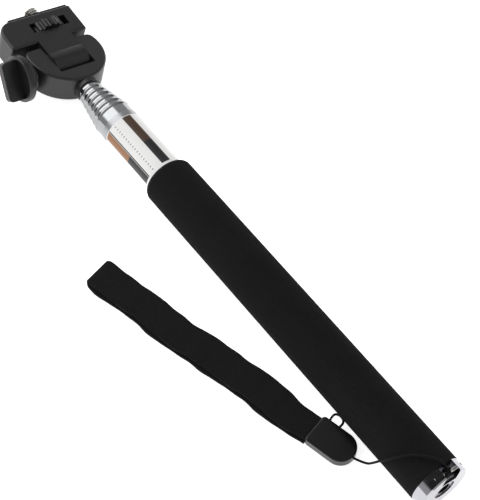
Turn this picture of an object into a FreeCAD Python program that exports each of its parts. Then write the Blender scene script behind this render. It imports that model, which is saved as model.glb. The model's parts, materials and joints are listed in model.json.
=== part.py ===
"""Telescopic selfie stick, folded: a foam grip with a chrome cap and a wrist lanyard, seven nested
steel tubes, and a tilting camera platform clamped by a knob.

Frame: the origin is the centre of the cap's end face, +X runs along the stick to the head, +Z is up.
The stick lies on its grip. The head is rolled about the stick's axis, so that one arm of the fork and
the grip touch the ground together.
"""
import FreeCAD, Part

import math
import os
import re

import Sketcher

Vector = FreeCAD.Vector
Rotation = FreeCAD.Rotation
Placement = FreeCAD.Placement

os.makedirs("parts", exist_ok=True)
doc = FreeCAD.newDocument("selfie_stick")

# Driving dimensions, in millimetres and degrees. "start" and "end" places are measured along the
# piece's own axis: the stick's axis for the grip and tubes, the tilt axis for the clamp, and the
# platform's own upright for the platform, both from the pivot.
DIMENSIONS = {
    # grip and cap
    "cap_step": 0.1,
    "cap_length": 5.0,
    "cap_edge": 0.5,
    "spigot_length": 14.0,
    "socket_diameter": 5.1,
    "socket_depth": 9.0,
    "recess_diameter": 8.8,
    "recess_depth": 0.4,
    "slot_width": 7.0,
    "slot_depth": 5.8,
    "lanyard_pin_diameter": 1.6,
    "pin_depth": 2.9,
    "pin_setback": 2.5,
    "lanyard_pin_half_length": 6.5,
    "foam_thickness": 2.25,
    "grip_length": 160.0,
    "grip_edge": 2.0,
    # telescope
    "outer_tube_diameter": 16.5,
    "tube_wall": 0.35,
    "tube_gap": 0.25,
    "bare_tube_length": 38.5,
    "rim_pitch": 3.0,
    "crimp_length": 2.5,
    "crimp_edge": 0.5,
    "sliding_fit": 0.06,
    "fixed_fit": 0.02,
    "buffer_length": 11.8,
    "landing_gap": 0.2,
    "shoe_length": 22.0,
    "shoe_thickness": 0.2,
    "shoe_split": 0.8,
    "label_thickness": 0.12,
    "label_length": 32.0,
    # fork and clamp
    "fork_radius": 17.2,
    "fork_centre": 1.8,
    "fork_thickness": 11.8,
    "fork_edge": 1.0,
    "arm_reach": 8.0,
    "arm_corner": 3.0,
    "notch_depth": 8.2,
    "neck_wall": 0.85,
    "neck_gap": 1.5,
    "neck_bare": 1.6,
    "neck_bore_depth": 6.5,
    "rivet_diameter": 1.6,
    "rivet_cover": 0.6,
    "plug_length": 12.0,
    "tongue_width": 16.0,
    "tongue_side_gap": 0.5,
    "barrel_radius": 7.0,
    "bolt_diameter": 4.0,
    "thread_margin": 0.25,
    "bolt_head_width": 7.0,
    "bolt_head_height": 2.8,
    "running_fit": 0.05,
    "washer_thickness": 0.4,
    "washer_diameter": 13.0,
    "spring_washer_diameter": 9.2,
    "spring_washer_thickness": 0.8,
    "spot_face_depth": 0.6,
    "knob_hub_diameter": 12.0,
    "knob_hub_length": 3.0,
    "knob_diameter": 19.6,
    "knob_thickness": 3.0,
    "knob_rim": 1.4,
    "knob_dish": 1.0,
    "knob_edge": 0.6,
    "paddle_height": 7.6,
    "paddle_width": 16.4,
    "paddle_thickness": 3.0,
    "paddle_corner": 2.0,
    "insert_diameter": 7.2,
    "insert_length": 4.0,
    # camera platform
    "platform_clearance": 2.4,
    "platform_height": 14.8,
    "platform_thickness": 12.4,
    "platform_low_side": 16.3,
    "platform_high_side": 20.3,
    "platform_corner": 7.0,
    "platform_edge": 1.0,
    "window_rise": 5.1,
    "window_height": 5.0,
    "wheel_gap": 0.3,
    "wheel_diameter": 16.8,
    "wheel_scallop": 1.8,
    "wheel_scallops": 18,
    "screw_side": 2.0,
    "screw_diameter": 6.35,
    "screw_length": 5.6,
    "screw_neck_diameter": 5.4,
    "screw_chamfer": 0.7,
    "journal_diameter": 4.0,
    "journal_depth": 2.8,
    "pad_thickness": 1.0,
    "pad_inset": 0.8,
    # lanyard
    "string_diameter": 0.9,
    "knot_width": 3.4,
    "clip_length": 18.0,
    "clip_width": 12.0,
    "clip_half_thickness": 2.2,
    "clip_joint": 0.05,
    "clip_edge": 0.7,
    "clip_corner": 1.5,
    "strap_length": 106.0,
    "strap_width": 12.4,
    "strap_thickness": 2.3,
    "strap_corner": 2.4,
    # resting angles
    "head_roll": 17.0,
    "platform_lean": 5.0,
    "clip_heading": 13.6,
    "paddle_turn": -52.0,
}

SECTIONS = 7

# Sizes and places that follow from the driving dimensions, as formulas in the same sheet.
FOLLOWING = {
    "grip_diameter": "outer_tube_diameter + 2 * foam_thickness",
    "cap_diameter": "grip_diameter - 2 * cap_step",
    "slot_floor": "cap_diameter / 2 - slot_depth",
    "lanyard_pin_height": "cap_diameter / 2 - pin_depth",
    "lanyard_pin_place": "cap_length - pin_setback",
    "neck_length": "neck_bare + fork_radius - fork_centre - notch_depth",
    "pivot_place": "cap_length + grip_length + bare_tube_length "
                   f"+ {SECTIONS - 2} * rim_pitch + neck_gap + neck_length + notch_depth",
    "neck_diameter": f"outer_tube_diameter - {2 * (SECTIONS - 1)} * (tube_wall + tube_gap) "
                     "+ 2 * neck_wall",
    "rivet_reach": "neck_diameter / 2 - rivet_cover",
    "spot_face_place": "fork_radius - spot_face_depth",
    "bolt_head_place": "spot_face_place - bolt_head_height",
    "bolt_end": "spot_face_place + spring_washer_thickness + running_fit + insert_length "
                "- thread_margin",
    "platform_bottom": "arm_reach + platform_clearance",
    "platform_top": "platform_bottom + platform_height",
    "window_start": "platform_bottom + window_rise",
}

sheet = doc.addObject("Spreadsheet::Sheet", "Sizes")
cells = {alias: str(number) for alias, number in DIMENSIONS.items()}
cells.update({alias: f"={formula}" for alias, formula in FOLLOWING.items()})
for row, (alias, content) in enumerate(cells.items(), start=1):
    sheet.set(f"A{row}", alias.replace("_", " "))
    sheet.set(f"B{row}", content)
    sheet.setAlias(f"B{row}", alias)
anchor = doc.addObject("App::FeaturePython", "Anchor")
doc.recompute()

finished = {}


def bound(formula):
    """The formula with each size in it read from the sheet."""
    return re.sub(r"[a-z][a-z_]*", r"Sizes.\g<0>", formula)


def value(formula):
    """The number that a formula of sizes gives now."""
    return float(anchor.evalExpression(bound(formula)))


# Formulas that several pieces share.
GRIP_END = "(cap_length + grip_length)"
FIRST_RIM = "(cap_length + grip_length + bare_tube_length)"
TUBE_BASE = "(cap_length + spigot_length + buffer_length + landing_gap)"
GROUND = "(0 - grip_diameter / 2)"
HUB_START = "(spot_face_place + spring_washer_thickness + running_fit)"
KNOB_BACK = f"({HUB_START} + knob_hub_length)"
KNOB_FACE = f"({KNOB_BACK} + knob_thickness)"
DISH_FLOOR = f"({KNOB_FACE} - knob_dish)"
WINDOW_END = "(window_start + window_height)"
WINDOW_HALF_WIDTH = "(wheel_diameter / 2 + wheel_gap)"
NECK_END = "(pivot_place - notch_depth)"
NECK_START = f"({NECK_END} - neck_length)"
BORE_END = f"({NECK_START} + neck_bore_depth)"


def tube_radius(section):
    """Outer radius of a section; section 1 is the outermost."""
    return f"(outer_tube_diameter / 2 - {section - 1} * (tube_wall + tube_gap))"


def tube_bore(section):
    return f"({tube_radius(section)} - tube_wall)"


def rim_place(section):
    """Where a section's rolled-in end lies when folded."""
    return f"({FIRST_RIM} + {section - 1} * rim_pitch)"


# Resting frames. Every piece is built with +X as its own axis and moved once.
ROLL = Rotation(Vector(1, 0, 0), value("head_roll"))
AXIS_TO_TILT = Rotation(Vector(0, 0, 1), 90)
LEAN = Rotation(Vector(0, 1, 0), -value("platform_lean"))
PIVOT = Vector(value("pivot_place"), 0, 0)
STICK_FRAME = Placement(Vector(0, 0, 0), ROLL)
CLAMP_FRAME = Placement(PIVOT, ROLL.multiply(AXIS_TO_TILT))
PLATFORM_FRAME = Placement(PIVOT, ROLL.multiply(LEAN))

# Turns a cylinder's own upright axis on to the named axis.
UPRIGHT_TO = {
    "X": Rotation(Vector(0, 1, 0), 90),
    "Y": Rotation(Vector(1, 0, 0), -90),
    "Z": Rotation(),
}


def settled(thing):
    """Recomputes the document and stops if the object failed."""
    doc.recompute()
    if {"Invalid", "Error"} & set(thing.State) or thing.Shape.isNull() or not thing.Shape.isValid():
        raise RuntimeError(f"{thing.Name} failed: {thing.State}")
    return thing


def finish(node, thing, frame=STICK_FRAME):
    """Names a sub-part and puts it in its place."""
    thing.Label = node
    thing.Placement = frame
    finished[node] = settled(thing)
    return thing


# ---------------------------------------------------------------- sketched bodies

def outline_sketch(body, name, plane, outline):
    """A closed outline of corners, each a pair of formulas across and up the plane."""
    sketch = body.newObject("Sketcher::SketchObject", name)
    origin_planes = {feature.Role: feature for feature in body.Origin.OriginFeatures}
    sketch.AttachmentSupport = [(origin_planes[plane], "")]
    sketch.MapMode = "FlatFace"
    corners = [Vector(value(across), value(up), 0) for across, up in outline]
    for number, corner in enumerate(corners):
        sketch.addGeometry(Part.LineSegment(corner, corners[(number + 1) % len(corners)]))
    for number in range(len(corners)):
        following = (number + 1) % len(corners)
        sketch.addConstraint(Sketcher.Constraint("Coincident", number, 2, following, 1))
    for number, corner in enumerate(outline):
        for kind, formula, axis in zip(("DistanceX", "DistanceY"), corner, (-2, -1)):
            if formula == "0":
                sketch.addConstraint(Sketcher.Constraint("PointOnObject", number, 1, axis))
                continue
            place = Sketcher.Constraint(kind, -1, 1, number, 1, value(formula))
            index = sketch.addConstraint(place)
            sketch.setExpression(f"Constraints[{index}]", bound(formula))
    return sketch


def turned(name, outline):
    """A body of revolution about X. The outline's corners are (place along X, radius)."""
    body = doc.addObject("PartDesign::Body", f"{name}_body")
    sketch = outline_sketch(body, f"{name}_outline", "XY_Plane", outline)
    turning = body.newObject("PartDesign::Revolution", f"{name}_turning")
    turning.Profile = sketch
    turning.ReferenceAxis = (sketch, ["H_Axis"])
    turning.Angle = 360
    return settled(body)


def ring(name, start, end, inner, outer):
    """A plain tube or washer about X."""
    return turned(name, [(start, inner), (start, outer), (end, outer), (end, inner)])


def rod(name, start, end, radius):
    """A plain rod about X."""
    return turned(name, [(start, "0"), (start, radius), (end, radius), (end, "0")])


def rounded_body(body, name, radius, wanted):
    """Rounds the edges of the body's last feature that the test picks."""
    base = body.Tip
    edges = [f"Edge{number}" for number, edge in enumerate(base.Shape.Edges, start=1) if wanted(edge)]
    fillet = body.newObject("PartDesign::Fillet", name)
    fillet.Base = (base, edges)
    fillet.setExpression("Radius", bound(radius))
    return settled(body)


def circle_at(place, radius):
    """A test for the round edge at a place along X with a radius, both formulas."""
    def wanted(edge):
        if not isinstance(edge.Curve, Part.Circle):
            return False
        along = edge.Curve.Center.x - value(place)
        across = edge.Curve.Radius - value(radius)
        return abs(along) < 0.01 and abs(across) < 0.01
    return wanted


# ---------------------------------------------------------------- solids by booleans

def cylinder(name, axis, radius, start, end, across=("0", "0")):
    """A cylinder along an axis; across gives its centre on the other two axes, in order."""
    thing = doc.addObject("Part::Cylinder", name)
    thing.setExpression("Radius", bound(radius))
    thing.setExpression("Height", bound(f"({end}) - ({start})"))
    thing.Placement = Placement(Vector(0, 0, 0), UPRIGHT_TO[axis])
    others = [letter for letter in "XYZ" if letter != axis]
    for letter, formula in zip([axis, *others], (start, *across)):
        thing.setExpression(f"Placement.Base.{letter.lower()}", bound(formula))
    return thing


def block(name, *spans):
    """A box from a (low, high) pair of formulas for each of X, Y and Z."""
    thing = doc.addObject("Part::Box", name)
    for letter, side, (low, high) in zip("xyz", ("Length", "Width", "Height"), spans):
        thing.setExpression(side, bound(f"({high}) - ({low})"))
        thing.setExpression(f"Placement.Base.{letter}", bound(low))
    return thing


# The width across a hexagon's flats, over the radius to its corners.
ROOT_THREE = f"{math.sqrt(3):.6f}"


def prism(name, sides, radius, start, end, across=("0", "0")):
    """A regular prism along Y; radius is measured to its corners."""
    thing = doc.addObject("Part::Prism", name)
    thing.Polygon = sides
    thing.setExpression("Circumradius", bound(radius))
    thing.setExpression("Height", bound(f"({end}) - ({start})"))
    thing.Placement = Placement(Vector(0, 0, 0), UPRIGHT_TO["Y"])
    for letter, formula in zip("yxz", (start, *across)):
        thing.setExpression(f"Placement.Base.{letter}", bound(formula))
    return thing


def cut(name, base, *tools):
    """The base without each tool. Every cut has to take something away."""
    for number, tool in enumerate(tools, start=1):
        doc.recompute()
        before = base.Shape.Volume
        result = doc.addObject("Part::Cut", f"{name}_cut_{number}")
        result.Base = base
        result.Tool = tool
        settled(result)
        if result.Shape.Volume > before - 1e-4:
            raise RuntimeError(f"{result.Name} removed nothing")
        base = result
    return base


def joined(name, *things):
    fusion = doc.addObject("Part::MultiFuse", f"{name}_fusion")
    fusion.Shapes = list(things)
    fusion.Refine = True
    return settled(fusion)


def rounded(name, base, roundings):
    """Rounds edges; roundings holds pairs of (radius formula, test for an edge)."""
    settled(base)
    edges = []
    for number, edge in enumerate(base.Shape.Edges, start=1):
        for radius, wanted in roundings:
            if wanted(edge):
                edges.append((number, value(radius), value(radius)))
                break
    fillet = doc.addObject("Part::Fillet", f"{name}_fillet")
    fillet.Base = base
    fillet.Edges = edges
    return settled(fillet)


def runs_along(edge, axis):
    """Whether a straight edge runs along X, Y or Z."""
    if len(edge.Vertexes) != 2 or not isinstance(edge.Curve, (Part.Line, Part.LineSegment)):
        return False
    direction = edge.Vertexes[1].Point - edge.Vertexes[0].Point
    return abs(getattr(direction, axis)) > 0.999 * direction.Length


def lies_at(edge, axis, place):
    """Whether a whole edge lies at a place on an axis."""
    box = edge.BoundBox
    low, high = getattr(box, f"{axis.upper()}Min"), getattr(box, f"{axis.upper()}Max")
    return abs(low - place) < 0.01 and abs(high - place) < 0.01


# ---------------------------------------------------------------- grip end

def end_cap():
    """Chrome cap: flange, spigot in the tube, tripod socket and a slot for the string."""
    flange, spigot = "cap_diameter / 2", f"{tube_bore(1)} - fixed_fit"
    spigot_end = "cap_length + spigot_length"
    body = turned("end_cap", [
        ("recess_depth", "socket_diameter / 2"),
        ("recess_depth", "recess_diameter / 2"),
        ("0", "recess_diameter / 2"),
        ("0", f"{flange} - cap_edge"),
        ("cap_edge", flange),
        ("cap_length", flange),
        ("cap_length", spigot),
        (f"{spigot_end} - cap_edge", spigot),
        (spigot_end, f"{spigot} - cap_edge"),
        (spigot_end, "0"),
        ("socket_depth", "0"),
        ("socket_depth", "socket_diameter / 2"),
    ])
    slot = block("cap_slot", ("0 - cap_edge", "cap_length"),
                 ("0 - slot_width / 2", "slot_width / 2"), ("slot_floor", "cap_diameter"))
    pin_hole = cylinder("cap_pin_hole", "Y", "lanyard_pin_diameter / 2 + fixed_fit",
                        "0 - cap_diameter", "lanyard_pin_half_length",
                        ("lanyard_pin_place", "lanyard_pin_height"))
    finish("end_cap", cut("end_cap", body, slot, pin_hole))


def pin_frame():
    """Puts a piece built about X on the lanyard pin's axis, across the slot."""
    centre = Vector(value("lanyard_pin_place"), 0, value("lanyard_pin_height"))
    return Placement(ROLL.multVec(centre), ROLL.multiply(AXIS_TO_TILT))


def lanyard_pin():
    pin = rod("lanyard_pin", "0 - lanyard_pin_half_length", "lanyard_pin_half_length",
              "lanyard_pin_diameter / 2")
    finish("lanyard_pin", pin, pin_frame())


def foam_grip():
    body = ring("foam_grip", "cap_length", GRIP_END, "outer_tube_diameter / 2", "grip_diameter / 2")
    rounded_body(body, "foam_grip_edge", "grip_edge", circle_at(GRIP_END, "grip_diameter / 2"))
    finish("foam_grip", body)


def base_buffer():
    """Rubber stop that the folded tubes land on."""
    start = "(cap_length + spigot_length)"
    finish("base_buffer", rod("base_buffer", start, f"{start} + buffer_length",
                              f"{tube_bore(1)} - fixed_fit"))


def tube_label():
    radius = "outer_tube_diameter / 2"
    finish("tube_label", ring("tube_label", GRIP_END, f"{GRIP_END} + label_length",
                              radius, f"{radius} + label_thickness"))


# ---------------------------------------------------------------- telescope

def crimped_tube(section, start):
    """A tube whose end is rolled in on to the next section."""
    outer, bore, rim = tube_radius(section), tube_bore(section), rim_place(section)
    lip = f"({tube_radius(section + 1)} + sliding_fit)"
    name = f"section_{section}_tube"
    body = turned(name, [
        (start, bore), (start, outer), (rim, outer), (rim, lip),
        (f"{rim} - crimp_length", lip), (f"{rim} - crimp_length", bore),
    ])
    rounded_body(body, f"{name}_edge", "crimp_edge", circle_at(rim, outer))
    finish(name, body)


def friction_shoes(section):
    """Two half-shells at a tube's base, in the gap to the tube around it."""
    inner, end = tube_radius(section), f"({TUBE_BASE} + shoe_length)"
    name = f"friction_shoes_{section}"
    shells = ring(name, TUBE_BASE, end, inner, f"{inner} + shoe_thickness")
    split = block(f"{name}_split", (f"{TUBE_BASE} - shoe_split", f"{end} + shoe_split"),
                  ("0 - outer_tube_diameter", "outer_tube_diameter"),
                  ("0 - shoe_split / 2", "shoe_split / 2"))
    finish(name, cut(name, shells, split))


def telescope():
    crimped_tube(1, "cap_length")
    for section in range(2, SECTIONS):
        crimped_tube(section, TUBE_BASE)
    last = ring("section_7_tube", TUBE_BASE, BORE_END, tube_bore(SECTIONS), tube_radius(SECTIONS))
    finish("section_7_tube", cut("section_7_tube", last, rivet_tool("section_7_tube")))
    for section in range(2, SECTIONS + 1):
        friction_shoes(section)


# ---------------------------------------------------------------- fork and clamp

def rivet_place():
    """Where the rivet crosses the neck."""
    return f"({NECK_START} + neck_bore_depth / 2)"


def tube_plug():
    plug = rod("tube_plug", f"{BORE_END} - plug_length", BORE_END, f"{tube_bore(SECTIONS)} - fixed_fit")
    finish("tube_plug", cut("tube_plug", plug, rivet_tool("tube_plug")))


def rivet_tool(name):
    """The rivet's hole, a press fit."""
    return cylinder(f"{name}_rivet_hole", "Z", "rivet_diameter / 2",
                    "0 - fork_thickness", "rivet_reach", (rivet_place(), "0"))


def fork():
    """Round flat fork: a notch for the tongue, a neck on the last tube, and the clamp's bores."""
    centre, half = "(pivot_place + fork_centre)", "fork_thickness / 2"
    arm_end = "(pivot_place + arm_reach)"
    disc = cylinder("fork_disc", "Z", "fork_radius", f"0 - {half}", half, (centre, "0"))
    beyond = block("fork_beyond", (arm_end, f"{arm_end} + fork_radius"),
                   ("0 - 2 * fork_radius", "2 * fork_radius"), ("0 - fork_thickness", "fork_thickness"))
    blank = cut("fork_blank", disc, beyond)
    top = value(half)
    blank = rounded("fork_blank", blank, [
        ("arm_corner", lambda edge: runs_along(edge, "z") and lies_at(edge, "x", value(arm_end))),
        ("fork_edge", lambda edge: lies_at(edge, "z", top) or lies_at(edge, "z", -top)),
    ])
    neck = cylinder("fork_neck", "X", "neck_diameter / 2", NECK_START, f"{NECK_END} - washer_thickness")
    bolt = "bolt_diameter / 2 + running_fit"
    notch_half = "(tongue_width / 2 + tongue_side_gap)"
    tools = [
        block("fork_notch", (NECK_END, f"{arm_end} + fork_radius"),
              (f"0 - {notch_half}", notch_half), ("0 - fork_thickness", "fork_thickness")),
        cylinder("fork_bore", "X", f"{tube_radius(SECTIONS)} + fixed_fit", f"{NECK_START} - fixed_fit", BORE_END),
        rivet_tool("fork"),
        cylinder("fork_bolt_hole", "Y", bolt, "0 - fork_radius", "fork_radius", ("pivot_place", "0")),
        prism("fork_head_pocket", 6, f"bolt_head_width / {ROOT_THREE} + running_fit",
              "0 - 2 * fork_radius", "0 - bolt_head_place", ("pivot_place", "0")),
        cylinder("fork_spot_face", "Y", "spring_washer_diameter / 2 + tongue_side_gap",
                 "spot_face_place", "2 * fork_radius", ("pivot_place", "0")),
    ]
    finish("fork", cut("fork", joined("fork", blank, neck), *tools))


def neck_rivet():
    start = "0 - fork_thickness / 2"
    rivet = rod("neck_rivet", start, "rivet_reach", "rivet_diameter / 2")
    upright = Rotation(Vector(0, 1, 0), -90)
    finish("neck_rivet", rivet, Placement(Vector(value(rivet_place()), 0, 0), ROLL.multiply(upright)))


def tilt_bolt():
    """Hexagon head in the fork's pocket, shank through tongue and arms into the knob."""
    head_start = "(bolt_head_place + bolt_head_height)"
    shank = cylinder("bolt_shank", "Y", "bolt_diameter / 2", "0 - bolt_head_place", "bolt_end")
    head = prism("bolt_head", 6, f"bolt_head_width / {ROOT_THREE}", f"0 - {head_start}", "0 - bolt_head_place")
    finish("tilt_bolt", joined("tilt_bolt", shank, head), Placement(PIVOT, ROLL))


def friction_washers():
    """One washer each side of the tongue, on the bolt."""
    inner, outer = "bolt_diameter / 2 + running_fit", "washer_diameter / 2"
    near = "(tongue_width / 2 + running_fit)"
    far = f"({near} + washer_thickness)"
    sides = [
        ring("washer_high", near, far, inner, outer),
        ring("washer_low", f"0 - {far}", f"0 - {near}", inner, outer),
    ]
    pair = doc.addObject("Part::Compound", "friction_washers")
    pair.Links = sides
    finish("friction_washers", pair, CLAMP_FRAME)


def spring_washer():
    washer = ring("spring_washer", "spot_face_place", "spot_face_place + spring_washer_thickness",
                  "bolt_diameter / 2 + running_fit", "spring_washer_diameter / 2")
    finish("spring_washer", washer, CLAMP_FRAME)


def knob():
    """Hub, dished disc and a paddle across its face. It is built about Y."""
    hub, disc, pocket = "knob_hub_diameter / 2", "knob_diameter / 2", "insert_diameter / 2"
    dish = "(knob_diameter / 2 - knob_rim)"
    pocket_end = f"({HUB_START} + insert_length)"
    body = turned("knob", [
        (HUB_START, pocket), (HUB_START, hub), (KNOB_BACK, hub), (KNOB_BACK, disc),
        (KNOB_FACE, disc), (KNOB_FACE, dish), (DISH_FLOOR, dish), (DISH_FLOOR, "0"),
        (pocket_end, "0"), (pocket_end, pocket),
    ])
    rims = [circle_at(KNOB_FACE, disc), circle_at(KNOB_BACK, disc)]
    rounded_body(body, "knob_edges", "knob_edge", lambda edge: any(rim(edge) for rim in rims))
    crest = f"({DISH_FLOOR} + paddle_height)"
    paddle = block("knob_paddle", (DISH_FLOOR, crest), ("0 - paddle_width / 2", "paddle_width / 2"),
                   ("0 - paddle_thickness / 2", "paddle_thickness / 2"))
    paddle = rounded("knob_paddle", paddle, [
        ("paddle_corner", lambda edge: runs_along(edge, "z") and lies_at(edge, "x", value(crest))),
    ])
    inside = cylinder("knob_reach", "X", disc, DISH_FLOOR, crest)
    trimmed = doc.addObject("Part::Common", "knob_paddle_trimmed")
    trimmed.Base = paddle
    trimmed.Tool = inside
    turn = Rotation(Vector(1, 0, 0), value("paddle_turn"))
    settled(trimmed)
    trimmed.Placement = Placement(Vector(0, 0, 0), turn)
    finish("knob", joined("knob", body, trimmed), CLAMP_FRAME)


def knob_insert():
    finish("knob_insert", ring("knob_insert", HUB_START, f"{HUB_START} + insert_length",
                               "bolt_diameter / 2 + running_fit", "insert_diameter / 2"), CLAMP_FRAME)


# ---------------------------------------------------------------- camera platform

def platform_body():
    """One moulding: a block with the wheel's window, and the tongue with its round barrel."""
    half = "platform_thickness / 2"
    high, low, top = value("platform_high_side"), -value("platform_low_side"), value("platform_top")
    slab = block("platform_slab", ("platform_bottom", "platform_top"),
                 ("0 - platform_low_side", "platform_high_side"), (f"0 - {half}", half))
    slab = rounded("platform_slab", slab, [
        ("platform_corner", lambda edge: runs_along(edge, "z") and lies_at(edge, "x", top)
         and lies_at(edge, "y", high)),
        ("platform_edge", lambda edge: True),
    ])
    tongue = block("platform_tongue", ("0", "platform_bottom + platform_edge"),
                   ("0 - tongue_width / 2", "tongue_width / 2"), (f"0 - {half}", half))
    barrel = cylinder("platform_barrel", "Y", "barrel_radius", "0 - tongue_width / 2", "tongue_width / 2")
    side = "(0 - screw_side)"
    tools = [
        cylinder("platform_bolt_hole", "Y", "bolt_diameter / 2 + running_fit",
                 "0 - tongue_width", "tongue_width"),
        block("platform_window", ("window_start", WINDOW_END),
              (f"{side} - {WINDOW_HALF_WIDTH}", f"{side} + {WINDOW_HALF_WIDTH}"),
              ("0 - platform_thickness", "platform_thickness")),
        cylinder("platform_screw_hole", "X", "screw_diameter / 2 + running_fit",
                 WINDOW_END, "platform_top + platform_edge", (side, "0")),
        cylinder("platform_journal_hole", "X", "journal_diameter / 2 + running_fit",
                 "window_start - journal_depth - running_fit", "window_start", (side, "0")),
    ]
    whole = cut("platform_body", joined("platform_body", slab, tongue, barrel), *tools)
    finish("platform_body", whole, PLATFORM_FRAME)


def platform_pad():
    """Rubber sheet on the platform's flat top, open around the screw."""
    half = "(platform_thickness / 2 - pad_inset)"
    pad = block("pad_sheet", ("platform_top", "platform_top + pad_thickness"),
                ("pad_inset - platform_low_side", "platform_high_side - platform_corner"),
                (f"0 - {half}", half))
    hole = cylinder("pad_hole", "X", "screw_diameter / 2 + pad_inset", "platform_top - pad_inset",
                    "platform_top + 2 * pad_thickness", ("0 - screw_side", "0"))
    finish("platform_pad", cut("platform_pad", pad, hole), PLATFORM_FRAME)


def screw_frame():
    """The platform's frame, moved to the camera screw's axis."""
    return PLATFORM_FRAME.multiply(Placement(Vector(0, -value("screw_side"), 0), Rotation()))


def thumbwheel():
    """Wheel with a scalloped rim."""
    start, end = "(window_start + wheel_gap)", f"({WINDOW_END} - wheel_gap)"
    wheel = ring("thumbwheel", start, end, "screw_neck_diameter / 2", "wheel_diameter / 2")
    scallops = round(value("wheel_scallops"))
    flutes = []
    for number in range(scallops):
        turn = math.tau * number / scallops
        flute = cylinder(f"wheel_flute_{number}", "X", "wheel_scallop / 2",
                         "window_start", WINDOW_END,
                         (f"{math.cos(turn):.6f} * wheel_diameter / 2",
                          f"{math.sin(turn):.6f} * wheel_diameter / 2"))
        flutes.append(flute)
    around = doc.addObject("Part::Compound", "wheel_flutes")
    around.Links = flutes
    finish("thumbwheel", cut("thumbwheel", wheel, around), screw_frame())


def camera_screw():
    """1/4 inch screw, its neck moulded into the wheel, with a journal below."""
    thread, neck, journal = "screw_diameter / 2", "screw_neck_diameter / 2", "journal_diameter / 2"
    shoulder = "(window_start + wheel_gap)"
    seat = "(platform_top + pad_thickness)"
    tip = f"({seat} + screw_length)"
    finish("camera_screw", turned("camera_screw", [
        ("window_start - journal_depth", "0"), ("window_start - journal_depth", journal),
        (shoulder, journal), (shoulder, neck), (seat, neck), (seat, thread),
        (f"{tip} - screw_chamfer", thread),
        (tip, f"{thread} - screw_chamfer"), (tip, "0"),
    ]), screw_frame())


# ---------------------------------------------------------------- lanyard

# The string's route, from the knot in the cap's slot to the clip's tip: over the grip and down
# beside it to the ground. It is limp and hangs loosely, so it is chosen point by point.
STRING_ROUTE = [
    (3.0, -2.7, 8.9),
    (5.2, -2.0, 12.4),
    (9.5, 0.8, 12.3),
    (13.6, 4.4, 11.4),
    (16.4, 7.9, 9.4),
    (18.8, 10.6, 6.1),
    (21.2, 11.9, 2.1),
    (23.2, 12.2, -2.6),
    (25.8, 13.0, -7.4),
    (30.4, 14.7, -8.25),
]

# The small loop of the same string that stands out of the clip's side.
LOOP_ROUTE = [
    (46.6, 12.7, -8.2),
    (48.6, 9.5, -8.2),
    (45.6, 7.6, -8.2),
    (42.6, 9.0, -8.2),
    (42.9, 11.8, -8.2),
]


# The cap's length and the grip's radius that the two routes were laid on.
LAID_ON_CAP, LAID_ON_GRIP = 5.0, 10.5

# How much of the shorter of two runs the arc between them takes.
ARC_SHARE = 0.45


def laid(along, across, up):
    """A route's point on this grip: it keeps its gap to the foam, and beside the grip its height
    above the ground."""
    along += value("cap_length") - LAID_ON_CAP
    growth = value("grip_diameter / 2") - LAID_ON_GRIP
    if up < 0:
        return Vector(along, across + growth, up - growth)
    outward = 1 + growth / math.hypot(across, up)
    return Vector(along, across * outward, up * outward)


def cord_path(name, route):
    """Straight runs joined by tangent arcs, each as large as its two runs allow."""
    points = [laid(*point) for point in route]
    edges, radii = [], []
    start = points[0]
    for before, corner, after in zip(points, points[1:], points[2:]):
        back, ahead = before - corner, after - corner
        turn = math.pi - back.getAngle(ahead)
        reach = ARC_SHARE * min(back.Length, ahead.Length)
        radii.append(reach / math.tan(turn / 2))
        back.normalize()
        ahead.normalize()
        bisector = (back + ahead).normalize()
        arc_start, arc_end = corner + back * reach, corner + ahead * reach
        centre_distance = radii[-1] / math.cos(turn / 2)
        middle = corner + bisector * (centre_distance - radii[-1])
        edges.append(Part.LineSegment(start, arc_start).toShape())
        edges.append(Part.Arc(arc_start, middle, arc_end).toShape())
        start = arc_end
    edges.append(Part.LineSegment(start, points[-1]).toShape())
    print(f"{name} radii", [round(radius, 1) for radius in radii])
    return Part.Wire(edges)


def cord_tube(name, route):
    """A round tube along a cord's path. A sweep about a path in space is set from its shape."""
    path = cord_path(name, route)
    radius = value("string_diameter / 2")
    first = path.Edges[0]
    along = first.tangentAt(first.FirstParameter)
    section = Part.Wire(Part.makeCircle(radius, first.Vertexes[0].Point, along))
    tube = doc.addObject("Part::Feature", name)
    tube.Shape = path.makePipeShell([section], True, False)
    expected = math.pi * radius ** 2 * path.Length
    print(f"{name}: length {path.Length:.1f} mm, volume {tube.Shape.Volume:.2f} of {expected:.2f} mm3")
    finish(name, tube, Placement())


def string_knot():
    """The turns of the string round the lanyard pin, one short sleeve in the slot."""
    inner = "lanyard_pin_diameter / 2 + fixed_fit"
    knot = ring("string_knot", "0 - knot_width / 2", "knot_width / 2", inner,
                f"{inner} + string_diameter")
    finish("string_knot", knot, pin_frame())


def clip_outline():
    """Half-round at the string's end, straight sides, and rounded corners at the strap's end."""
    length, half, corner = value("clip_length"), value("clip_width / 2"), value("clip_corner")
    near_corner = corner * (1 - math.sqrt(0.5))

    def line(start, end):
        return Part.LineSegment(Vector(*start), Vector(*end)).toShape()

    def arc(start, middle, end):
        return Part.Arc(Vector(*start), Vector(*middle), Vector(*end)).toShape()

    return Part.Wire([
        arc((half, -half), (0, 0), (half, half)),
        line((half, half), (length - corner, half)),
        arc((length - corner, half), (length - near_corner, half - near_corner),
            (length, half - corner)),
        line((length, half - corner), (length, corner - half)),
        arc((length, corner - half), (length - near_corner, near_corner - half),
            (length - corner, -half)),
        line((length - corner, -half), (half, -half)),
    ])


CLIP_TIP = laid(*STRING_ROUTE[-1])
CLIP_TIP.z = 0
CLIP_TURN = Rotation(Vector(0, 0, 1), value("clip_heading"))


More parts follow.
